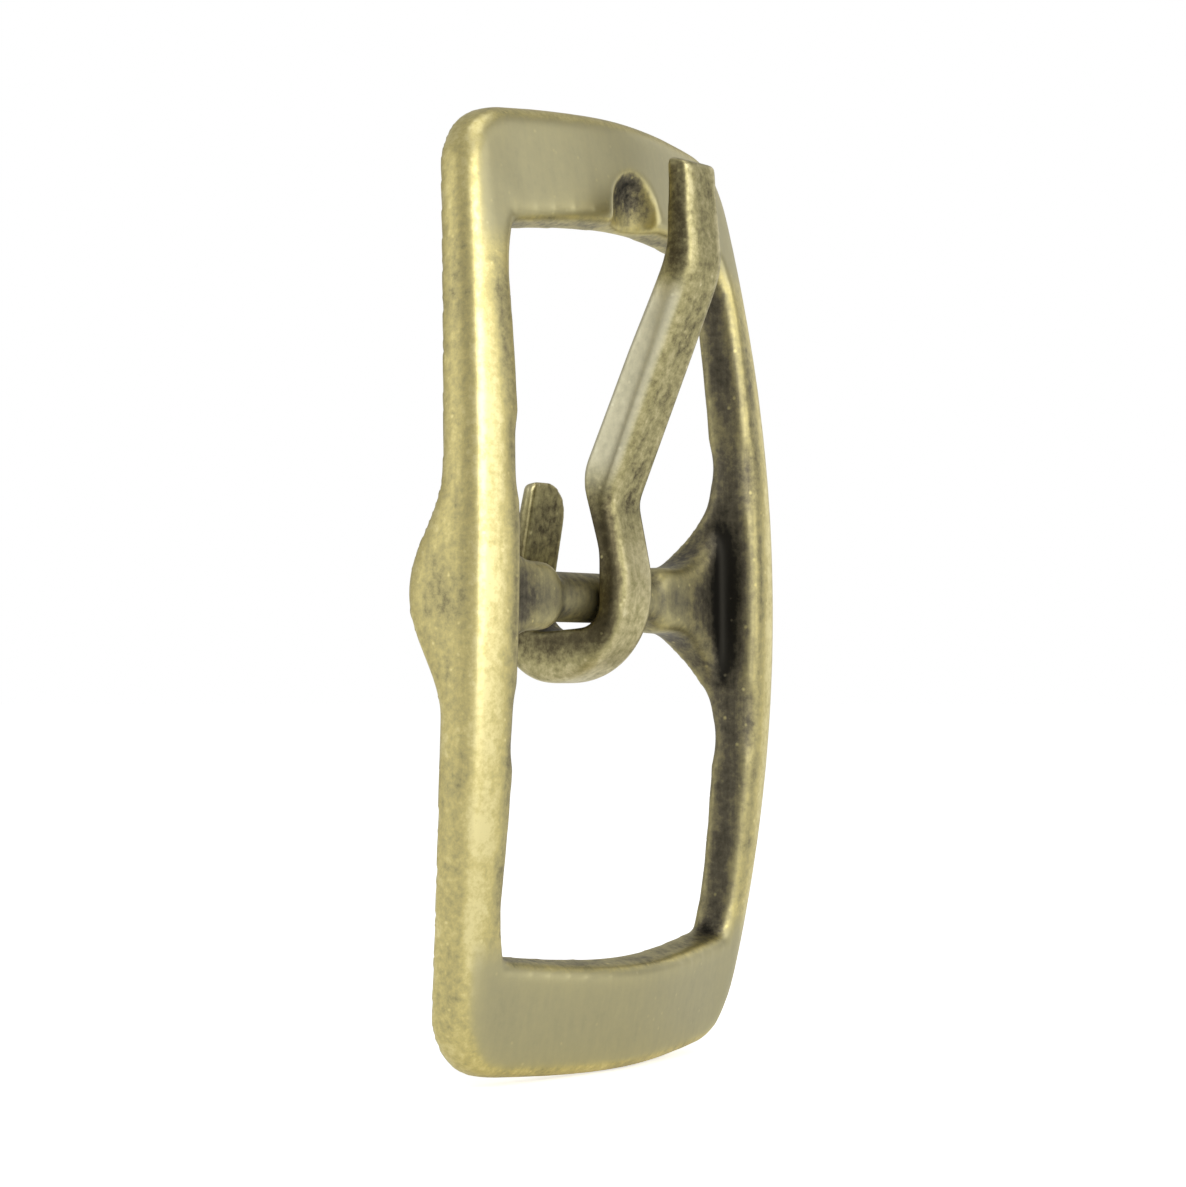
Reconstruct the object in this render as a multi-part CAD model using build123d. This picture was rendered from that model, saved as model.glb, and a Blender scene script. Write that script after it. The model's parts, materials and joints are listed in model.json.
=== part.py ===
from build123d import *
from math import cos, pi, radians, tan
import os

# Centre-bar buckle for a 25 mm strap: one cast frame and one bent tongue.
# X runs along the centre bar, +Z points to the end that the tongue tip rests on,
# -Y is the face that is seen when the buckle is worn. The origin is the middle of
# the centre bar, on the axis that the tongue swings about.

# ---- Driving dimensions, millimetres ----
bar_gap = 25.4              # clear width between the side rails, at the bar
window_draft = 12.0         # degrees that the windows narrow by towards the back
draft_y = -3.0              # where across the thickness they have their named width
window_reach = 8.0          # how far they are cut each way from there
rail_width = 4.1            # side rail, measured along X, at the bar
tip_end_z = 30.3            # outer edge of the end that the tongue tip rests on
far_end_z = -29.7           # outer edge of the other end
tip_bar = 6.95              # how far each end bar reaches in from its outer edge
far_bar = 6.8
corner_radius = 5.0         # outer corners
window_radius = 1.7         # inner corners
outer_barrel = 2.3          # the rails bulge outwards by this much at the bar
inner_barrel = 0.1          # and their inner edges by this much
outer_taper = 0.45          # the tip end is narrower, the other end wider, by this
inner_taper = 0.45
end_arch = 0.9              # the end bars arch outwards by this much

rail_front = -3.9           # front of the rails, level with the bar
bow_radius = 127.0          # the frame bows forwards along its length
crown = 2.0                 # the middle of each end bar stands this far forward of the rails
crown_half = 15.0           # half the width that the crown dies away over
rail_slope = 0.12           # slope across X that the rails keep beyond it
end_thickness = 2.25        # front to back, at the end bars
mid_thickness = 3.2         # and beside the bosses
front_round = 1.4           # rounding of the four edge loops
inner_round = 0.8
back_round = 0.5

boss_back = 2.0             # back of the thick boss where the bar meets a rail
boss_hip_z = 3.8            # its flank, half way down
boss_hip_y = 0.8
boss_foot_z = 8.0           # where it runs out into the rail
boss_foot_y = -0.45

shoulder_height = 4.3       # flat shoulders of the centre bar, along Z
shoulder_depth = 3.4        # and front to back
shoulder_end = 4.9          # each shoulder stops this far from the middle
shoulder_round = 2.0        # its end, seen from the front
shoulder_rim = 1.05         # and the edges of its front and back
root_flare = 5.0            # a shoulder flares by this much where it meets its rail
neck_radius = 1.6           # round neck that the tongue hooks on

notch_width = 5.2           # seat for the tongue tip in the front of the tip end
notch_top_z = 27.3
notch_depth = 1.3

tongue_width = 4.2          # flat inside, rounded outside
outer_round = 1.0           # rounding along its outer edges
flat_round = 0.3            # and along the edges of its flat
neck_play = 0.15            # gap between the flat of the tongue and the neck
tip_z = 27.4
tip_y = -6.75               # flat of the tongue at its tip
tip_bend_z = 21.35
tip_width = 3.6             # the tip is drawn out narrower and thinner
tip_thick = 1.6
tip_bevel = 0.5
tip_corner = 0.7
draw_z = 20.0               # where that starts
shank_thick = 2.4
knee = (-0.4, 7.6)          # flat of the shank just above the hook, Y and Z
knee_hollow = (-2.6, 6.0)   # and the crease opposite it
hook_z = 2.9                # the hook's straight front starts here
hook_floor_z = -1.78
hook_back = (4.95, -2.3)
tail_flat = (3.15, 7.5)
hook_front_y = -3.55        # outside of the hook
hook_bottom_z = -5.4
hook_heel_y = 7.4
tail_back = (4.35, 7.25)
tail_start_y = 1.0
tail_near_corner = 0.7      # the end of the tail is rounded off, most of all at +X
tail_far_corner = 2.6
flat_bends = [5.0, 3.2, 4.0, 1.6, 1.8]      # bend radii of the flat, tip to tail
outer_bends = [5.0, 1.4, 4.0, 5.8, 4.0]     # and of the outside

# ---- Worked-out dimensions ----
clear = 40.0                # further than any part of the buckle reaches from the origin
half_inner = bar_gap / 2
half_outer = half_inner + rail_width


def drop(radius, distance):
    """How far an arc of this radius falls away at a distance from its crest."""
    return radius - (radius ** 2 - distance ** 2) ** 0.5


def front_y(x, z):
    """Front surface of the frame."""
    fade = (1 + cos(pi * min(abs(x) / crown_half, 1))) / 2
    return rail_front - crown * fade + drop(bow_radius, z)


def outline(half_mid, foot_z, head_z, barrel, taper, radius):
    """Closed front view outline: two barrelled sides, two arched ends, round corners."""
    foot_half = half_mid - barrel + taper
    head_half = half_mid - barrel - taper
    low, high = foot_z + end_arch, head_z - end_arch
    edges = ThreePointArc((-foot_half, low), (-half_mid, 0), (-head_half, high))
    edges += ThreePointArc((foot_half, low), (half_mid, 0), (head_half, high))
    edges += ThreePointArc((-foot_half, low), (0, foot_z), (foot_half, low))
    edges += ThreePointArc((-head_half, high), (0, head_z), (head_half, high))
    face = make_face(edges)
    return fillet(face.vertices(), radius)


def through(face):
    """A front view face pushed right through the frame, front to back."""
    return extrude(Plane.XZ * face, clear, both=True)


def window(inset):
    """The opening of the whole ring, which narrows towards the back as a casting's must."""
    spread = window_reach * tan(radians(window_draft))
    wide = outline(half_inner + inset + spread, far_end_z + far_bar - spread,
                   tip_end_z - tip_bar + spread, inner_barrel, inner_taper, window_radius + spread)
    front = Plane(origin=(0, draft_y - window_reach, 0), x_dir=(-1, 0, 0), z_dir=(0, 1, 0))
    return extrude(front * wide, 2 * window_reach, taper=window_draft)


def ring_prism(inset=0.0):
    """The ring's outline pushed through the frame, less its drafted window."""
    outer = outline(half_outer - inset, far_end_z, tip_end_z, outer_barrel, outer_taper, corner_radius)
    return through(outer) - window(inset)


def bowed_shell():
    """The sheet of metal that the outline is cut from, bowed along Z and crowned across X."""
    end_z = tip_end_z + 3
    front_end = rail_front + drop(bow_radius, end_z)
    back_mid = rail_front + mid_thickness
    back_end = front_end + end_thickness
    front = ThreePointArc((front_end, -end_z), (rail_front, 0), (front_end, end_z))
    back = ThreePointArc((back_end, -end_z), (back_mid, 0), (back_end, end_z))
    caps = Line((front_end, -end_z), (back_end, -end_z)) + Line((front_end, end_z), (back_end, end_z))
    reach = half_outer + 2
    fall = rail_slope * (reach - crown_half)
    profile = Pos(-reach, fall, 0) * (Plane.YZ * make_face(front + back + caps))
    rise = Spline([(-crown_half, rail_front), (0, rail_front - crown), (crown_half, rail_front)],
                  tangents=[(1, -rail_slope), (1, 0), (1, rail_slope)])
    left = Line((-reach, rail_front + fall), rise @ 0)
    right = Line(rise @ 1, (reach, rail_front + fall))
    return sweep(profile, Wire((left + rise + right).edges()))


def edge_loop(solid, side, inside):
    """One of the four edge loops: side -1 is the front, +1 the back."""
    chosen = []
    for edge in solid.edges():
        spot = edge.position_at(0.5)
        depth = spot.Y - front_y(spot.X, spot.Z)
        in_window = (abs(spot.X) < half_inner + 0.6 and spot.Z < tip_end_z - tip_bar + 0.6
                     and spot.Z > far_end_z + far_bar - 0.6)
        at_front = depth < end_thickness * 0.3
        at_back = depth > end_thickness * 0.87
        if in_window == inside and (at_front if side < 0 else at_back):
            chosen.append(edge)
    return chosen


def ring():
    solid = ring_prism() & bowed_shell()
    solid = fillet(edge_loop(solid, -1, False), front_round)
    solid = fillet(edge_loop(solid, -1, True), inner_round)
    solid = fillet(edge_loop(solid, 1, False), back_round)
    return fillet(edge_loop(solid, 1, True), back_round)


def boss_slab():
    """The side profile of the bosses, drawn right across the frame."""
    root = rail_front + mid_thickness / 2
    flank = Spline([(boss_foot_y, -boss_foot_z), (boss_hip_y, -boss_hip_z), (boss_back, 0),
                    (boss_hip_y, boss_hip_z), (boss_foot_y, boss_foot_z)],
                   tangents=[(0, 1), (0, 1)])
    base = Polyline([(boss_foot_y, boss_foot_z), (root, boss_foot_z), (root, -boss_foot_z),
                     (boss_foot_y, -boss_foot_z)])
    return extrude(Plane.YZ * make_face(flank + base), clear, both=True)


def bosses():
    """Thick lumps on the back of both rails, where the centre bar joins them."""
    lump = ring_prism(0.03) & boss_slab()
    crest = [e for e in lump.edges() if e.position_at(0.5).Y > boss_foot_y + 0.8 and e.length > 6]
    return fillet(crest, back_round)


def shoulder():
    """The +X shoulder: a flat slab with a rounded end that flares into the rail."""
    root_x = half_inner + 1.0
    length = root_x - shoulder_end
    slab = Pos(shoulder_end + length / 2, 0) * Rectangle(length, shoulder_height)
    foot = Pos(half_inner + 0.4, 0) * Rectangle(1.2, shoulder_height + 2 * root_flare)
    face = slab + foot
    inner_corners = [v for v in face.vertices()
                     if v.X < half_inner and abs(abs(v.Y) - shoulder_height / 2) < 0.01
                     and v.X > shoulder_end + 0.1]
    face = fillet(inner_corners, root_flare)
    end_corners = [v for v in face.vertices() if v.X < shoulder_end + 0.1]
    face = fillet(end_corners, shoulder_round)
    solid = extrude(Plane.XZ * face, shoulder_depth / 2, both=True)
    rims = [e for e in solid.edges() if abs(abs(e.position_at(0.5).Y) - shoulder_depth / 2) < 0.01
            and e.position_at(0.5).X < half_inner - 0.3]
    return fillet(rims, shoulder_rim) & boss_slab()


def centre_bar():
    neck = Rot(0, 90, 0) * Cylinder(neck_radius, 2 * shoulder_end + 3)
    right = shoulder()
    return neck + right + mirror(right, about=Plane.YZ)


def notch():
    """Round-ended scoop that the tongue tip drops into."""
    radius = (notch_width ** 2 / 4 + notch_depth ** 2) / (2 * notch_depth)
    end_z = notch_top_z - notch_width / 2
    y = front_y(0, end_z) + notch_depth - radius
    length = tip_bar + 1
    groove = Pos(0, y, end_z - length / 2) * Cylinder(radius, length)
    return groove + Pos(0, y, end_z) * Sphere(radius)


def buckle_frame():
    return ring() + bosses() + centre_bar() - notch()


def drawn_tip():
    """Room that the tongue keeps within: all of it below draw_z, a tapering tip above."""
    half, tip_half = tongue_width / 2, tip_width / 2
    face = make_face(Polyline([(-half, draw_z), (half, draw_z), (tip_half, tip_z), (-tip_half, tip_z)],
                              close=True))
    top = [v for v in face.vertices() if v.Y > tip_z - 0.1]
    lower = Pos(0, 0, draw_z - clear) * Box(clear, 2 * clear, 2 * clear)
    return lower + through(fillet(top, tip_corner))


def tail_room():
    """Room that the tongue keeps within behind the bar, where the end of its tail is rounded off."""
    top_z = tail_flat[1]
    half = tongue_width / 2
    face = Pos(0, top_z - clear / 2) * Rectangle(tongue_width, clear)
    near = [v for v in face.vertices() if v.X < 0 and v.Y > 0]
    face = fillet(near, tail_near_corner)
    far = [v for v in face.vertices() if v.X > half - 0.01 and v.Y > top_z - 0.01]
    front_half = Pos(0, tail_start_y - clear, 0) * Box(2 * clear, 2 * clear, 2 * clear)
    return through(fillet(far, tail_far_corner)) + front_half


def tongue_side():
    """The tongue seen from the side: its flat, and its outside, which is thickest under the bar."""
    front = -neck_radius - neck_play
    flat = FilletPolyline([(tip_y, tip_z), (tip_y, tip_bend_z), knee, (front, hook_z),
                           (front, hook_floor_z), hook_back, tail_flat], radius=flat_bends)
    shank = Vector(knee[0] - tip_y, knee[1] - tip_bend_z).normalized()
    tip_outer = (tip_y - tip_thick, tip_z - tip_bevel)
    bend_outer = (tip_y + shank.Y * shank_thick, tip_bend_z - shank.X * shank_thick)
    outer = FilletPolyline([tip_outer, bend_outer, knee_hollow, (hook_front_y, hook_z - 1.3),
                            (hook_front_y, hook_bottom_z), (hook_heel_y, hook_bottom_z), tail_back],
                           radius=outer_bends)
    return flat, outer


def long_edges(solid, line):
    """The edges of the tongue that run along a side view line, on both of its sides."""
    middle_line = Plane.YZ * line
    chosen = []
    for edge in solid.edges():
        spot = edge.position_at(0.5)
        on_line = middle_line.distance_to(Vertex(0, spot.Y, spot.Z)) < 0.01
        if on_line and abs(edge.center().X) > tongue_width / 2 - 0.01:
            chosen.append(edge)
    return chosen


def tongue():
    flat, outer = tongue_side()
    ends = Line(flat @ 0, outer @ 0) + Line(flat @ 1, outer @ 1)
    solid = extrude(Plane.YZ * make_face(flat + outer + ends), tongue_width / 2, both=True)
    solid = fillet(long_edges(solid, outer), outer_round)
    solid = fillet(long_edges(solid, flat), flat_round)
    return solid & drawn_tip() & tail_room()


os.makedirs("parts", exist_ok=True)
export_step(buckle_frame(), "parts/buckle_frame.step")
export_step(tongue(), "parts/tongue.step")
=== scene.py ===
"""Antique brass centre-bar buckle: a cast frame and the hooked tongue that swings on its bar."""
import json
from math import cos, radians, sin

import bpy
import numpy as np
from bpy.props import (FloatProperty, FloatVectorProperty, IntProperty, PointerProperty,
                       StringProperty)
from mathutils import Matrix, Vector

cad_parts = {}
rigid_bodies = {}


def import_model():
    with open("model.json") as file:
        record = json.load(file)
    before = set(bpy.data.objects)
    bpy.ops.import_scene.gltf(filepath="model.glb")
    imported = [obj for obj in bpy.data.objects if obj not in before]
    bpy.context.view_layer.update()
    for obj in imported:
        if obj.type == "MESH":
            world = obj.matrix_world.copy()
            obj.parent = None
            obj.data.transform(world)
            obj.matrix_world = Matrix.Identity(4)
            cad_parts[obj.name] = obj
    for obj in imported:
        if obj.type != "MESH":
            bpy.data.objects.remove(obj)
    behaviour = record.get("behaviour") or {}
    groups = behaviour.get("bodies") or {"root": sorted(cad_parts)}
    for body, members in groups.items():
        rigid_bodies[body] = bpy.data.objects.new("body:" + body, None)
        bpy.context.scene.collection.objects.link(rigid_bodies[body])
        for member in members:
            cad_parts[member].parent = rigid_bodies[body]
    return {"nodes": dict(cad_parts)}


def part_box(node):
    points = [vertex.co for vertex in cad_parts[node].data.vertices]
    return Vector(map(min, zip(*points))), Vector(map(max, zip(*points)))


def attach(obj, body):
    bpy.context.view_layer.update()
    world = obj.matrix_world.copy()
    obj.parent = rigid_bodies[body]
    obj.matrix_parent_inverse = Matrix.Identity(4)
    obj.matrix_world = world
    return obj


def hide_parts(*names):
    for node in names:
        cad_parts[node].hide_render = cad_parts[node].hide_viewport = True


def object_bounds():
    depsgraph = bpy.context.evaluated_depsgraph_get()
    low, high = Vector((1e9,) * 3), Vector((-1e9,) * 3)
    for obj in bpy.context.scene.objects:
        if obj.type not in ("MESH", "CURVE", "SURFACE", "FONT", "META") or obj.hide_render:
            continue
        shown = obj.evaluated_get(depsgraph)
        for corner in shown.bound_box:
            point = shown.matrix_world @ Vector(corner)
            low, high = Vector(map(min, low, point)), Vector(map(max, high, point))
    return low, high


bl_info = {
    "name": "Centre-bar buckle",
    "version": (1, 0, 0),
    "blender": (4, 5, 0),
    "location": "View3D > Sidebar > Buckle",
    "description": "Builds a cast centre-bar buckle with its tongue around a packed frame",
    "category": "Object",
}

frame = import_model()
CAD_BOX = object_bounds()
FRAME_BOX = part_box("buckle_frame")
MM = 0.001
MERGE_WITHIN = 0.002 * MM    # doubles in a CAD mesh are closer than this
WEIGHT_STEPS = 10            # a vertex group's weights are rounded to tenths


# ---- Working a mesh ----

def deselect():
    if bpy.context.object and bpy.context.object.mode != "OBJECT":
        bpy.ops.object.mode_set(mode="OBJECT")
    bpy.ops.object.select_all(action="DESELECT")


def take_up(piece):
    """Selects one object and makes it the active one."""
    deselect()
    piece.select_set(True)
    bpy.context.view_layer.objects.active = piece


def finish_with(piece, kind, **settings):
    """Adds one modifier to a piece and applies it."""
    take_up(piece)
    modifier = piece.modifiers.new(kind.title(), kind)
    for name, value in settings.items():
        setattr(modifier, name, value)
    bpy.ops.object.modifier_apply(modifier=modifier.name)


def blank_from(node, name):
    """A merged copy of a CAD node's mesh, as the blank that a finished piece is worked from."""
    take_up(frame["nodes"][node])
    bpy.ops.object.duplicate()
    piece = bpy.context.object
    bpy.ops.object.parent_clear(type="CLEAR_KEEP_TRANSFORM")
    for key in list(piece.keys()):
        del piece[key]
    piece.name = piece.data.name = name
    piece.data.materials.clear()
    bpy.ops.object.mode_set(mode="EDIT")
    bpy.ops.mesh.select_all(action="SELECT")
    bpy.ops.mesh.remove_doubles(threshold=MERGE_WITHIN)
    bpy.ops.object.mode_set(mode="OBJECT")
    return piece


def tumble(piece, sizes):
    """Gives a blank an even mesh and takes the sharpness off all its edges."""
    finish_with(piece, "REMESH", mode="VOXEL", voxel_size=sizes.voxel, use_smooth_shade=True)
    finish_with(piece, "SMOOTH", factor=0.5, iterations=sizes.soften)


def ease(piece, name, weights, rounds):
    """Smooths a piece as far as each point's weight says."""
    group = piece.vertex_groups.new(name=name)
    for step in range(1, WEIGHT_STEPS + 1):
        picked = np.flatnonzero(np.round(weights * WEIGHT_STEPS) == step)
        group.add(picked.tolist(), step / WEIGHT_STEPS, "REPLACE")
    finish_with(piece, "SMOOTH", factor=0.5, iterations=rounds, vertex_group=name)


# ---- Marking where the film stays and where shade, highlights and reflections are painted ----

def fade(values, start, end):
    """0 before start and 1 past end, eased between them; end may be the smaller."""
    step = np.clip((values - start) / (end - start), 0, 1)
    return step * step * (3 - 2 * step)


def surface(piece):
    """Where each of a piece's points is, in metres, and which way it faces."""
    mesh = piece.data
    spots = np.empty(len(mesh.vertices) * 3)
    normals = np.empty(len(mesh.vertices) * 3)
    mesh.vertices.foreach_get("co", spots)
    mesh.vertex_normals.foreach_get("vector", normals)
    return spots.reshape(-1, 3), normals.reshape(-1, 3)


def neighbours_mean(values, edges, degree):
    """Each point's value replaced by the mean of the points it shares an edge with."""
    out = np.empty_like(values)
    for axis in range(values.shape[1]):
        out[:, axis] = np.bincount(edges[:, 0], values[edges[:, 1], axis], len(values))
        out[:, axis] += np.bincount(edges[:, 1], values[edges[:, 0], axis], len(values))
    return out / degree[:, None]


def proudness(piece, rounds):
    """How far each point stands above its surroundings, which reach as far as rounds of smoothing."""
    spots, normals = surface(piece)
    edges = np.empty(len(piece.data.edges) * 2, int)
    piece.data.edges.foreach_get("vertices", edges)
    edges = edges.reshape(-1, 2)
    degree = np.bincount(edges.ravel(), minlength=len(spots))
    soft = spots.copy()
    for _ in range(rounds):
        soft = neighbours_mean(soft, edges, degree)
    return ((spots - soft) * normals).sum(axis=1)


def mark(piece, sizes, **marks):
    """Stores what the brass material reads at each point: "wear", from 0 in a hollow through 0.5 on a
    flat to 1 on a proud edge; "shelter", 1 where tumbling didn't reach and where shade
    is painted; "front", 1 on polished fronts, which take a painted reflection; and
    "rubbed", 1 on faces that stand proud, rubbed back and given a painted highlight."""
    proud = proudness(piece, sizes.wear_reach)
    proud = np.where(proud < 0, proud * sizes.hollow_gain, proud)
    for name, values in {"wear": 0.5 + proud / sizes.wear_full / 2, **marks}.items():
        attribute = piece.data.attributes.new(name, "FLOAT", "POINT")
        attribute.data.foreach_set("value", np.clip(values, 0, 1).astype(np.float32))


# ---- Materials ----

PIT_WIDTH = 0.14       # how far a casting pit reaches, as a share of the distance between pits
PIT_RELIEF = 0.5       # height of a pit's rim beside the fine grain
SHELTER_AND_SHADE_CALM = 0.6     # how far the thick film and the painted shade in sheltered places hide its mottling
CLOUD_GRAIN, SPECK_GRAIN, STREAK_GRAIN = 0.55, 0.7, 0.6    # share of fine detail in each pattern
PATTERN_DETAIL = 3.0   # octaves in each


def linear(hex_colour):
    """A colour written as sRGB hex, as the linear RGBA that a shader takes."""
    parts = [int(hex_colour[i:i + 2], 16) / 255 for i in (1, 3, 5)]
    return tuple(c / 12.92 if c <= 0.04045 else ((c + 0.055) / 1.055) ** 2.4 for c in parts) + (1.0,)


def add(tree, kind, inputs=(), output=0, **settings):
    """Adds one node with its settings and gives back one of its outputs. inputs are (socket, value)
    pairs, and a value that is another node's output is linked."""
    node = tree.nodes.new(kind)
    for name, value in settings.items():
        setattr(node, name, value)
    for socket, value in inputs:
        if isinstance(value, bpy.types.NodeSocket):
            tree.links.new(value, node.inputs[socket])
        else:
            node.inputs[socket].default_value = value
    return node.outputs[output] if node.outputs else None


def antique_brass(name, film, along):
    """Antique brass: brass plate darkened in a bath and then tumbled, so that it is near black in
    the hollows, olive grey on flats and rubbed back to pale gold where it stands proud. Shade from
    ambient occlusion and in sheltered places, highlights on the proud faces and a reflection
    greying the fronts are painted into the same colour. along stretches the streaks that the last
    brushing left, as (x, y, z)."""
    material = bpy.data.materials.new(name)
    material.use_nodes = True
    tree = material.node_tree
    shader = tree.nodes["Principled BSDF"]
    where = add(tree, "ShaderNodeTexCoord", output="Object")
    wear, shelter, front, rubbed = (
        add(tree, "ShaderNodeAttribute", output="Fac", attribute_name=stored)
        for stored in ("wear", "shelter", "front", "rubbed"))
    # Ambient occlusion paints shade into corners and recesses, beside the film that the hollows keep
    ambient_occlusion = add(tree, "ShaderNodeAmbientOcclusion", [("Distance", film.reach)], "AO",
                   only_local=True, samples=8)

    # Soft patches, fine mottling and brushed streaks in the film, and the pits of the casting
    stretched = add(tree, "ShaderNodeMapping", [("Vector", where), ("Scale", along)])
    clouds, specks, streaks = (
        add(tree, "ShaderNodeTexNoise", [("Vector", place), ("Scale", 1 / (2 * size)),
                                         ("Detail", PATTERN_DETAIL), ("Roughness", fine)], "Fac")
        for place, size, fine in ((where, film.cloud_size, CLOUD_GRAIN),
                                  (where, film.speck_size, SPECK_GRAIN),
                                  (stretched, film.speck_size, STREAK_GRAIN)))
    from_pit = add(tree, "ShaderNodeTexVoronoi", [("Vector", where), ("Scale", 1 / film.pit_spacing)],
                   "Distance")
    off_pit = add(tree, "ShaderNodeMapRange", [("Value", from_pit), ("From Max", PIT_WIDTH)])

    # Each of these moves the wear level by its depth, from its own even value. Some carry painted
    # light: a highlight on the rubbed faces, and shade from occlusion and in sheltered places.
    layers = ((rubbed, 0.0, film.rubbed_depth), (wear, 0.5, film.edge_depth),
              (ambient_occlusion, 1.0, film.hollow_and_shade_depth), (shelter, 0.0, -film.shelter_depth),
              (streaks, 0.5, film.streak_depth), (off_pit, 1.0, -film.nick_depth))
    level = film.flat_level - sum(even * depth for _, even, depth in layers)
    for layer, _, depth in layers:
        level = add(tree, "ShaderNodeMath", [(0, layer), (1, depth), (2, level)],
                    operation="MULTIPLY_ADD")

    # Mottling, which is calmer on polished fronts and under thick film and painted shade
    mottle = -0.5 * (film.cloud_depth + film.speck_depth)
    for pattern, depth in ((clouds, film.cloud_depth), (specks, film.speck_depth)):
        mottle = add(tree, "ShaderNodeMath", [(0, pattern), (1, depth), (2, mottle)],
                     operation="MULTIPLY_ADD")
    calm_front, calm_shelter = (
        add(tree, "ShaderNodeMath", [(0, stored), (1, -depth), (2, 1.0)], operation="MULTIPLY_ADD")
        for stored, depth in ((front, film.front_calm), (shelter, SHELTER_AND_SHADE_CALM)))
    calm = add(tree, "ShaderNodeMath", [(0, calm_front), (1, calm_shelter)], operation="MULTIPLY")
    level = add(tree, "ShaderNodeMath", [(0, mottle), (1, calm), (2, level)],
                operation="MULTIPLY_ADD", use_clamp=True)

    # The film's colour at each level, greyed on the polished fronts as a painted reflection of the white
    # studio
    tone = add(tree, "ShaderNodeValToRGB", [("Fac", level)])
    band = tone.node.color_ramp
    colours = [linear(shade) for shade in (film.hollow, film.wall, film.flat, film.rounded, film.edge)]
    while len(band.elements) < len(colours):
        band.elements.new(0.5)
    for element, position, colour in zip(band.elements, film.levels, colours):
        element.position = position
        element.color = colour
    grey = add(tree, "ShaderNodeMath", [(0, front), (1, film.front_reflection_share)], operation="MULTIPLY")
    greyed = add(tree, "ShaderNodeMix", [(0, grey), (6, tone), (7, linear(film.grey))], 2,
                 data_type="RGBA")
    tree.links.new(greyed, shader.inputs["Base Color"])

    # Rubbed brass is smoother than the film
    shader.inputs["Metallic"].default_value = 1.0
    rough = add(tree, "ShaderNodeMapRange", [("Value", level), ("To Min", film.rough_hollow),
                                             ("To Max", film.rough_worn)])
    tree.links.new(rough, shader.inputs["Roughness"])

    # Casting pits and the fine tumbled grain
    relief = add(tree, "ShaderNodeMath", [(0, specks), (1, streaks)], operation="ADD")
    relief = add(tree, "ShaderNodeMath", [(0, relief), (1, calm)], operation="MULTIPLY")
    relief = add(tree, "ShaderNodeMath", [(0, off_pit), (1, PIT_RELIEF), (2, relief)],
                 operation="MULTIPLY_ADD")
    bump = add(tree, "ShaderNodeBump", [("Height", relief), ("Strength", film.bump),
                                        ("Distance", film.bump_depth)])
    tree.links.new(bump, shader.inputs["Normal"])
    return material


# ---- Settings ----

class FilmSettings(bpy.types.PropertyGroup):
    """The worn film, with the shade, highlights and reflection painted into it. Its defaults are the
    casting's.
    """
    # The hollow and wall colours also colour the painted shade
    hollow: StringProperty(name="Hollow", description="sRGB hex colour of the film in hollows",
                           default="#2E2C27")
    wall: StringProperty(name="Wall", description="sRGB hex colour of sheltered walls",
                         default="#6C6656")
    flat: StringProperty(name="Flat", description="sRGB hex colour of flats", default="#C4B984")
    # The rounded and edge colours also colour the painted highlights
    rounded: StringProperty(name="Rounded", description="sRGB hex colour of rounded faces",
                            default="#E0D28F")
    edge: StringProperty(name="Edge", description="sRGB hex colour of rubbed edges",
                         default="#F8EBAC")
    levels: FloatVectorProperty(name="Levels", description="Wear level of each of the five colours",
                                size=5, default=(0.02, 0.20, 0.48, 0.70, 0.92))
    flat_level: FloatProperty(name="Flat level", description="How far flats are rubbed back",
                              default=0.5)
    # Painted highlight as well as rubbing, on the crowns and sides that this brightens
    rubbed_depth: FloatProperty(name="Rubbed depth", description="How far proud faces are rubbed back",
                                default=0.22)
    edge_depth: FloatProperty(name="Edge depth", description="How much edges are rubbed back",
                              default=0.8)
    # Painted shade as well as kept film, on the sunk bar, beside it and in other sheltered places
    shelter_depth: FloatProperty(name="Shelter", description="Film kept where tumbling didn't reach",
                                 default=0.38)
    # Painted shade from ambient occlusion, as well as film kept in hollows
    hollow_and_shade_depth: FloatProperty(name="Hollow depth", description="Film kept in hollows and corners",
                                default=0.3)
    # Distance over which the ambient occlusion paints shade
    reach: FloatProperty(name="Reach", description="Size of hollow that tumbling media stays out of",
                         default=4 * MM, unit="LENGTH")
    cloud_size: FloatProperty(name="Cloud size", description="Size of the soft patches in the film",
                              default=1.6 * MM, unit="LENGTH")
    cloud_depth: FloatProperty(name="Cloud depth", description="How much the patches change the wear",
                               default=0.6)
    speck_size: FloatProperty(name="Speck size", description="Size of the fine mottling",
                              default=0.26 * MM, unit="LENGTH")
    speck_depth: FloatProperty(name="Speck depth", description="How much the mottling changes the wear",
                               default=0.8)
    streak_depth: FloatProperty(name="Streak depth", description="How much brushing changes the wear",
                                default=0.2)
    nick_depth: FloatProperty(name="Nick depth", description="How bright the small nicks are",
                              default=0.3)
    pit_spacing: FloatProperty(name="Pit spacing", description="Distance between casting pits",
                               default=1.1 * MM, unit="LENGTH")
    front_calm: FloatProperty(name="Front calm", description="How far fronts were polished even",
                              default=0.75)
    # The next two settings paint a reflection of the white studio onto the polished fronts
    front_reflection_share: FloatProperty(name="Front grey", description="How grey the polished fronts are",
                              default=0.6)
    grey: StringProperty(name="Grey", description="sRGB hex colour of the polished fronts",
                         default="#B2AE92")
    rough_hollow: FloatProperty(name="Hollow roughness", description="Roughness of the film",
                                default=0.5)
    rough_worn: FloatProperty(name="Worn roughness", description="Roughness of the rubbed brass",
                              default=0.3)
    bump: FloatProperty(name="Bump", description="Strength of the fine relief", default=0.3)
    bump_depth: FloatProperty(name="Bump depth", description="Depth of the fine relief",
                              default=0.02 * MM, unit="LENGTH")


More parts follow.
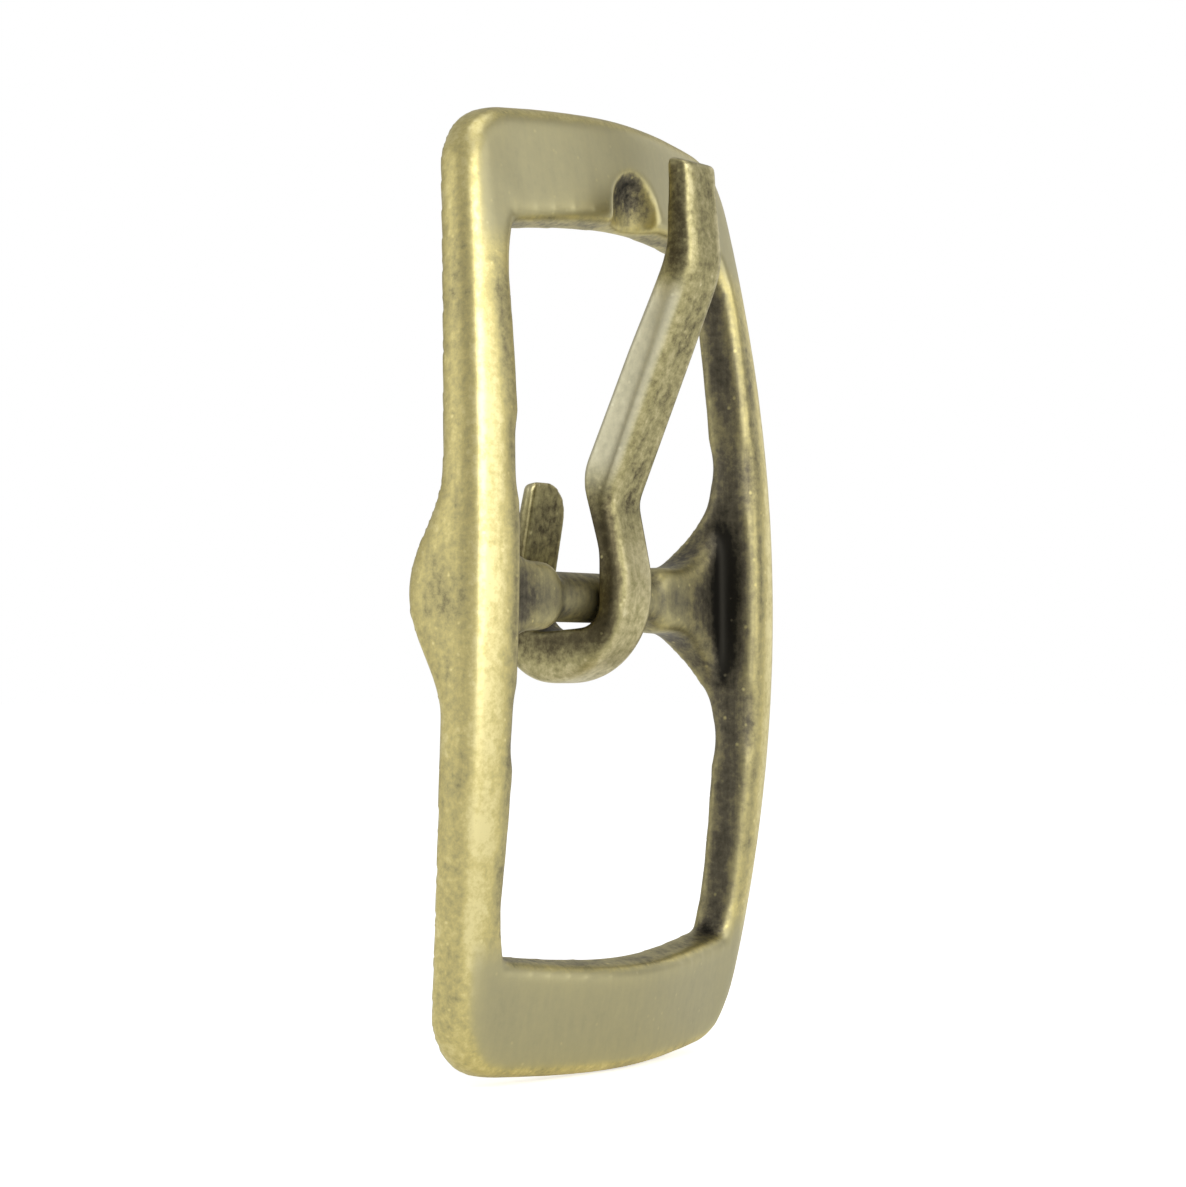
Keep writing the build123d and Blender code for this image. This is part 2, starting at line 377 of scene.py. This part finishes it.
# Where the film on the drawn wire, with its painted shade, highlights and reflection, differs from the
# casting's
WIRE_FILM = {
    "hollow": "#26221A",
    "wall": "#655D45",
    "flat": "#B5AC7C",
    "rounded": "#DBD0A0",
    "edge": "#F8EFC4",
    "levels": (0.04, 0.22, 0.48, 0.70, 0.92),
    "flat_level": 0.44,
    "edge_depth": 0.35,
    "shelter_depth": 0.32,
    "cloud_depth": 0.35,
    "streak_depth": 0.35,
    "front_calm": 0.35,
    "front_reflection_share": 0.75,
    "grey": "#DEDCC6",
}


class CastingSettings(bpy.types.PropertyGroup):
    """Sizes of the cast frame's finish."""
    voxel: FloatProperty(name="Voxel", description="Size of the casting's mesh faces",
                         default=0.25 * MM, unit="LENGTH")
    soften: IntProperty(name="Soften", description="Rounds of smoothing, as tumbling rounds an edge",
                        default=8)
    rail_rounding: IntProperty(name="Rail rounding", description="Further rounds on the side rails",
                               default=100)
    rail_inside: FloatProperty(name="Rail inside", description="Inner side of the rails, from the middle",
                               default=12.7 * MM, unit="LENGTH")
    boss_foot: FloatProperty(name="Boss foot", description="Height where the bosses run out",
                             default=8 * MM, unit="LENGTH")
    sunk_from: FloatProperty(name="Sunk from", description="Depth at which the bar counts as sunken",
                             default=-3.4 * MM, unit="LENGTH")
    wear_reach: IntProperty(name="Wear reach", description="Rounds of smoothing that find edges",
                            default=30)
    wear_full: FloatProperty(name="Wear depth", description="How proud the most worn edge stands",
                             default=0.45 * MM, unit="LENGTH")
    hollow_gain: FloatProperty(name="Hollow gain", description="How much more a hollow counts",
                               default=1.4)


class TongueSettings(bpy.types.PropertyGroup):
    """Sizes of the tongue's finish."""
    voxel: FloatProperty(name="Voxel", description="Size of the tongue's mesh faces",
                         default=0.12 * MM, unit="LENGTH")
    soften: IntProperty(name="Soften", description="Rounds of smoothing along its edges", default=30)
    tip_rounding: IntProperty(name="Tip rounding", description="Further rounds on the sides of the tip",
                              default=70)
    wear_reach: IntProperty(name="Wear reach", description="Rounds of smoothing that find edges",
                            default=80)
    wear_full: FloatProperty(name="Wear depth", description="How proud the most worn edge stands",
                             default=0.35 * MM, unit="LENGTH")
    hollow_gain: FloatProperty(name="Hollow gain", description="How much more a hollow counts",
                               default=1.5)


class StudioSettings(bpy.types.PropertyGroup):
    """Camera, floor and room."""
    azimuth: FloatProperty(name="Azimuth", description="Camera angle round the buckle",
                           default=radians(-55), subtype="ANGLE")
    elevation: FloatProperty(name="Elevation", description="Camera angle above the bar",
                             default=radians(-1.5), subtype="ANGLE")
    distance: FloatProperty(name="Distance", description="Camera distance from the bar",
                            default=200 * MM, unit="LENGTH")
    lens: FloatProperty(name="Lens", description="Focal length in millimetres", default=95.6)
    aim_height: FloatProperty(name="Aim height", description="Height above the bar that it looks at",
                              default=0.3 * MM, unit="LENGTH")
    floor_glow: FloatProperty(name="Floor glow", description="Lift that burns the floor out to white",
                              default=0.55)
    floor_light: FloatProperty(name="Floor light", description="Light that the floor gives off",
                               default=0.1)
    room: FloatVectorProperty(name="Room", description="Colour of the room in reflections",
                              subtype="COLOR", size=3, default=(0.42, 0.42, 0.42))


class BuckleSettings(bpy.types.PropertyGroup):
    """All that the buckle is built from."""
    casting: PointerProperty(type=CastingSettings, name="Casting", description="The cast frame")
    tongue: PointerProperty(type=TongueSettings, name="Tongue", description="The hooked tongue")
    cast_film: PointerProperty(type=FilmSettings, name="Cast film", description="Film on the casting")
    wire_film: PointerProperty(type=FilmSettings, name="Wire film", description="Film on the tongue")
    studio: PointerProperty(type=StudioSettings, name="Studio", description="The stage")


# ---- Pieces ----
# Every pair below is a span that fade() eases over, from where a mark starts to where it is full.
# Places are millimetres from the middle of the bar, and either side of the middle is alike. Facings
# are cosines: 1 for a face that looks straight that way, 0 for one that looks across it.

RAIL_BLEND = (0, 2)                               # outwards from the inner side of a rail
OFF_BACK = (0.9, 0.3)                             # all but the flat backs
FOOT_RISE, FOOT_INSIDE = (3, 1), (-4, -2)         # a boss's foot, from its height and from the rail
FOOT_OUTSIDE = (16, 14)                           # and short of the rail's outer side
WALL_FACING, END_WALLS = (0.1, 0.6), (20, 22)     # walls that face inwards, and those of the end bars
# The sunk shoulders and their roots lie in the rails' shadow, which is painted on as shade
SUNK_DEPTH, SUNK_RISE = (0, 1.2), (10, 7.5)       # the bar's shoulders, which lie below the rails
SUNK_OUTSIDE = (1, 0)                             # as far out as the rails
ROOTS = (6.5, 9.5)                                # where the shoulders flare into the rails
LIP_ACROSS, LIP_RISE = (15.2, 13.4), (22, 17)     # the rails' inner lips
SCOOP_HALF, SCOOP_FOOT, SCOOP_DEEP = 2.6, 24.6, 2.7    # half width, start and depth of its round end
SCOOP_EDGE, SCOOP_RISE = (1.0, 0.8), (21, 22)     # how it runs out, and only at the tip's end
SCOOP_FACING = (-0.2, 0.2)
FRONT_FACING = (0.75, 0.95)
ENDS, LUGS = (20, 22.5), (9, 7.5)                 # polished end bars and flat shoulders
RUB_AND_HIGHLIGHT_ACROSS, RUB_AND_HIGHLIGHT_FACING, RUB_AND_HIGHLIGHT_RISE = (13.6, 14.6), (0.3, 0.8), (27, 22)    # crown of each rail, rubbed and given a painted highlight


class BUCKLE_OT_cast_frame(bpy.types.Operator):
    """Work the cast frame from its blank: even mesh, tumbled edges and worn antique film"""
    bl_idname = "buckle.cast_frame"
    bl_label = "Cast frame"

    def round_rails(self, piece, sizes):
        """Rounds the two side rails further than the crisp end bars, and blends the bosses' feet."""
        spots, normals = surface(piece)
        across, up = np.abs(spots[:, 0]) / MM, np.abs(spots[:, 2]) / MM
        past_inside = across - sizes.rail_inside / MM
        rails = fade(past_inside, *RAIL_BLEND) * fade(normals[:, 1], *OFF_BACK)
        feet = fade(np.abs(up - sizes.boss_foot / MM), *FOOT_RISE)
        feet *= fade(past_inside, *FOOT_INSIDE) * fade(across, *FOOT_OUTSIDE)
        ease(piece, "rails", np.maximum(rails, feet), sizes.rail_rounding)

    def mark_casting(self, piece, sizes):
        """Film stays on walls that face inwards, and shade is painted on the sunk shoulders and in the
        roots of the centre bar; the fronts take a painted reflection, and the rails' crowns are rubbed
        and take a painted highlight.
        """
        spots, normals = surface(piece)
        across, up = np.abs(spots[:, 0]) / MM, np.abs(spots[:, 2]) / MM
        past_inside = across - sizes.rail_inside / MM
        forwards = -normals[:, 1]

        outwards = spots[:, (0, 2)] / (FRAME_BOX[1][0], FRAME_BOX[1][2])
        outwards /= np.maximum(np.linalg.norm(outwards, axis=1), 1e-6)[:, None]
        inwards = -(outwards * normals[:, (0, 2)]).sum(axis=1)
        walls = fade(inwards, *WALL_FACING) * (1 - 0.5 * fade(up, *END_WALLS))
        sunk = fade((spots[:, 1] - sizes.sunk_from) / MM, *SUNK_DEPTH)
        sunk *= fade(past_inside, *SUNK_OUTSIDE) * fade(up, *SUNK_RISE)
        roots = sunk * fade(across, *ROOTS)
        lips = fade(across, *LIP_ACROSS) * fade(up, *LIP_RISE)
        scoop_end = np.maximum(up - SCOOP_FOOT, 0) / SCOOP_DEEP
        scoop = fade(np.hypot(across / SCOOP_HALF, scoop_end), *SCOOP_EDGE)
        scoop *= fade(spots[:, 2] / MM, *SCOOP_RISE) * fade(forwards, *SCOOP_FACING)
        ends, lugs = fade(up, *ENDS), sunk * fade(across, *LUGS)

        # Film and painted shade where tumbling didn't reach, a painted reflection on the fronts, and
        # rubbing with a painted highlight on the rails' crowns
        mark(piece, sizes,
             shelter=np.maximum.reduce([walls, 0.75 * sunk, 0.9 * roots, 0.6 * lips, 0.15 * scoop]),
             front=fade(forwards, *FRONT_FACING) * np.maximum(ends, 0.3 * lugs) * (1 - scoop),
             rubbed=fade(across, *RUB_AND_HIGHLIGHT_ACROSS) * fade(forwards, *RUB_AND_HIGHLIGHT_FACING) * fade(up, *RUB_AND_HIGHLIGHT_RISE))

    def execute(self, context):
        settings = context.scene.buckle
        sizes = settings.casting
        piece = blank_from("buckle_frame", "cast_frame")
        tumble(piece, sizes)
        self.round_rails(piece, sizes)
        self.mark_casting(piece, sizes)
        brushed_upright = (1, 1, 0.08)
        piece.data.materials.append(antique_brass("cast_antique_brass", settings.cast_film,
                                                  brushed_upright))
        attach(piece, "frame")
        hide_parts("buckle_frame")
        return {"FINISHED"}


TIP_START, TIP_CUT = (15, 20), (27.3, 25.8)       # the drawn-out tip, and its cut end, left crisp
TOWARDS_BAR, HOOK_INSIDE = (0.2, 0.8), (14, 9)    # inside of the hook, with film and painted shade, by facing and by reach
CLOSE_BY, CLOSE_FACING = (9, 4.5), (0.2, 0.7)     # sides of the wire that are close to the bar, where shade is painted
BELOW_COUNTS = 1.9                                # below the bar, the painted shade runs out this much sooner
SIDE_FACING = (0.5, 0.9)
TIP_SIDES = (19, 21)
FLANK_FOOT, FLANK_HEAD = (6, 9), (20, 18)         # sides of the shank, greyed and brightened as a painted reflection and highlight
OFF_BAR, HOOK_OUTSIDE = (0.6, 0.95), (9, 6)       # outside of the hook, rubbed and given a painted highlight, by facing and by reach


class BUCKLE_OT_tongue(bpy.types.Operator):
    """Work the tongue from its blank: even mesh, eased edges and worn antique film"""
    bl_idname = "buckle.tongue"
    bl_label = "Tongue"

    def round_tip(self, piece, sizes):
        """Rounds the sides of the drawn-out tip, and leaves its cut end crisp."""
        up = surface(piece)[0][:, 2] / MM
        ease(piece, "tip", fade(up, *TIP_START) * fade(up, *TIP_CUT), sizes.tip_rounding)

    def mark_hook(self, piece, sizes):
        """Film and painted shade stay inside the hook, along the sides of the tip and on the wire beside
        the bar; the sides of the shank take a painted reflection and highlight, and the outside of the
        hook is rubbed and takes a painted highlight.
        """
        spots, normals = surface(piece)
        back, up = spots[:, 1] / MM, spots[:, 2] / MM
        sideways = np.abs(normals[:, 0])
        reach = np.hypot(back, up)
        towards_bar = -(back * normals[:, 1] + up * normals[:, 2]) / np.maximum(reach, 1)

        inside = fade(towards_bar, *TOWARDS_BAR) * fade(reach, *HOOK_INSIDE)
        outside = fade(-towards_bar, *OFF_BAR) * fade(reach, *HOOK_OUTSIDE)
        stretched = np.hypot(back, up * np.where(up < 0, BELOW_COUNTS, 1))
        close_by = fade(stretched, *CLOSE_BY) * fade(sideways, *CLOSE_FACING)
        tip_sides = fade(up, *TIP_SIDES) * fade(sideways, *SIDE_FACING)
        flanks = fade(sideways, *SIDE_FACING) * fade(up, *FLANK_FOOT) * fade(up, *FLANK_HEAD)

        mark(piece, sizes,
             shelter=np.maximum.reduce([0.45 * inside, close_by, 0.75 * tip_sides]),
             front=0.7 * flanks,
             rubbed=np.maximum(0.8 * flanks, 0.7 * outside))

    def execute(self, context):
        settings = context.scene.buckle
        sizes = settings.tongue
        piece = blank_from("tongue", "hooked_tongue")
        tumble(piece, sizes)
        self.round_tip(piece, sizes)
        self.mark_hook(piece, sizes)
        brushed_lengthways = (1, 0.15, 0.1)
        piece.data.materials.append(antique_brass("wire_antique_brass", settings.wire_film,
                                                  brushed_lengthways))
        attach(piece, "tongue")
        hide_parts("tongue")
        return {"FINISHED"}


# ---- Stage ----

# Name, azimuth and elevation in degrees, distance, width and height in metres, and power in watts
SOFT_BOXES = (
    ("key_box", -30, 18, 0.55, 0.36, 0.50, 1.15),
    ("left_box", -132, 14, 0.60, 0.36, 0.55, 0.38),
    ("front_box", 14, 14, 0.60, 0.50, 0.50, 0.75),
    ("right_box", 84, 10, 0.65, 0.30, 0.55, 0.25),
    ("top_box", -30, 80, 0.60, 0.40, 0.40, 0.4),
)
FLOOR_RADIUS = 3.0              # metres, so that its edge is out of sight
FLOOR_GAP = 0.05 * MM           # below the buckle's lowest point
SENSOR_WIDTH = 36               # millimetres
NEAREST_SEEN = 0.005            # metres, so that a close view isn't cut open


def around(azimuth, elevation, distance):
    """A place round the buckle. Azimuth 0 is in front of it, and elevation is above the bar."""
    return Vector((sin(azimuth) * cos(elevation), -cos(azimuth) * cos(elevation),
                   sin(elevation))) * distance


def soft_box(name, azimuth, elevation, distance, width, height, power):
    """A large flat studio light that faces the buckle."""
    place = around(radians(azimuth), radians(elevation), distance)
    bpy.ops.object.light_add(type="AREA", location=place)
    light = bpy.context.object
    light.name = light.data.name = name
    light.rotation_euler = (-place).to_track_quat("-Z", "Y").to_euler()
    light.data.shape = "RECTANGLE"
    light.data.size = width
    light.data.size_y = height
    light.data.energy = power


def white_floor(studio):
    """Matt white paper that the camera sees as plain white, and that throws little light upwards."""
    bpy.ops.mesh.primitive_circle_add(vertices=96, radius=FLOOR_RADIUS, fill_type="NGON",
                                      location=(0, 0, CAD_BOX[0][2] - FLOOR_GAP))
    floor = bpy.context.object
    floor.name = floor.data.name = "floor"
    paper = bpy.data.materials.new("white_paper")
    paper.use_nodes = True
    tree = paper.node_tree
    shader = tree.nodes["Principled BSDF"]
    shader.inputs["Base Color"].default_value = linear("#F6F6F4")
    shader.inputs["Roughness"].default_value = 0.9
    shader.inputs["Specular IOR Level"].default_value = 0.0
    shader.inputs["Emission Color"].default_value = (1, 1, 1, 1)
    seen = add(tree, "ShaderNodeLightPath", output="Is Camera Ray")
    glow = add(tree, "ShaderNodeMath", [(0, seen), (1, studio.floor_glow), (2, studio.floor_light)],
               operation="MULTIPLY_ADD")
    tree.links.new(glow, shader.inputs["Emission Strength"])
    floor.data.materials.append(paper)


def white_room(studio):
    """A room that looks plain white to the camera and a soft grey in the metal."""
    world = bpy.data.worlds.new("white_room")
    world.use_nodes = True
    bpy.context.scene.world = world
    tree = world.node_tree
    tree.nodes.clear()
    white = add(tree, "ShaderNodeBackground", [("Color", (1, 1, 1, 1))])
    grey = add(tree, "ShaderNodeBackground", [("Color", tuple(studio.room) + (1,))])
    seen = add(tree, "ShaderNodeLightPath", output="Is Camera Ray")
    mixed = add(tree, "ShaderNodeMixShader", [(0, seen), (1, grey), (2, white)])
    add(tree, "ShaderNodeOutputWorld", [("Surface", mixed)])


class BUCKLE_OT_studio(bpy.types.Operator):
    """Set the pale floor, soft lights and camera"""
    bl_idname = "buckle.studio"
    bl_label = "Studio"

    def execute(self, context):
        studio = context.scene.buckle.studio
        deselect()
        white_floor(studio)
        for box in SOFT_BOXES:
            soft_box(*box)
        white_room(studio)

        place = around(studio.azimuth, studio.elevation, studio.distance)
        bpy.ops.object.camera_add(location=place)
        camera = context.object
        aim = Vector((0, 0, studio.aim_height)) - place
        camera.rotation_euler = aim.to_track_quat("-Z", "Y").to_euler()
        camera.data.sensor_fit = "HORIZONTAL"
        camera.data.sensor_width = SENSOR_WIDTH
        camera.data.lens = studio.lens
        camera.data.clip_start = NEAREST_SEEN
        context.scene.camera = camera
        context.scene.view_settings.view_transform = "Standard"
        return {"FINISHED"}


class BUCKLE_PT_panel(bpy.types.Panel):
    """Lists the pieces of the buckle and their sizes"""
    bl_idname = "BUCKLE_PT_panel"
    bl_label = "Centre-bar buckle"
    bl_space_type = "VIEW_3D"
    bl_region_type = "UI"
    bl_category = "Buckle"

    def draw(self, context):
        settings = context.scene.buckle
        for label, group, operator in (
                ("Cast frame", settings.casting, "buckle.cast_frame"),
                ("Tongue", settings.tongue, "buckle.tongue"),
                ("Cast film", settings.cast_film, None),
                ("Wire film", settings.wire_film, None),
                ("Studio", settings.studio, "buckle.studio")):
            box = self.layout.box()
            box.label(text=label)
            for name in group.bl_rna.properties.keys():
                if name not in ("rna_type", "name"):
                    box.prop(group, name)
            if operator:
                box.operator(operator)


CLASSES = (FilmSettings, CastingSettings, TongueSettings, StudioSettings, BuckleSettings,
           BUCKLE_OT_cast_frame, BUCKLE_OT_tongue, BUCKLE_OT_studio, BUCKLE_PT_panel)


def register():
    for each in CLASSES:
        bpy.utils.register_class(each)
    bpy.types.Scene.buckle = PointerProperty(type=BuckleSettings, name="Buckle",
                                             description="Sizes and looks of the buckle")


def unregister():
    del bpy.types.Scene.buckle
    for each in reversed(CLASSES):
        bpy.utils.unregister_class(each)


def main():
    register()
    for name, value in WIRE_FILM.items():
        setattr(bpy.context.scene.buckle.wire_film, name, value)
    bpy.ops.buckle.cast_frame()
    bpy.ops.buckle.tongue()
    bpy.ops.buckle.studio()


if __name__ == "__main__":
    main()
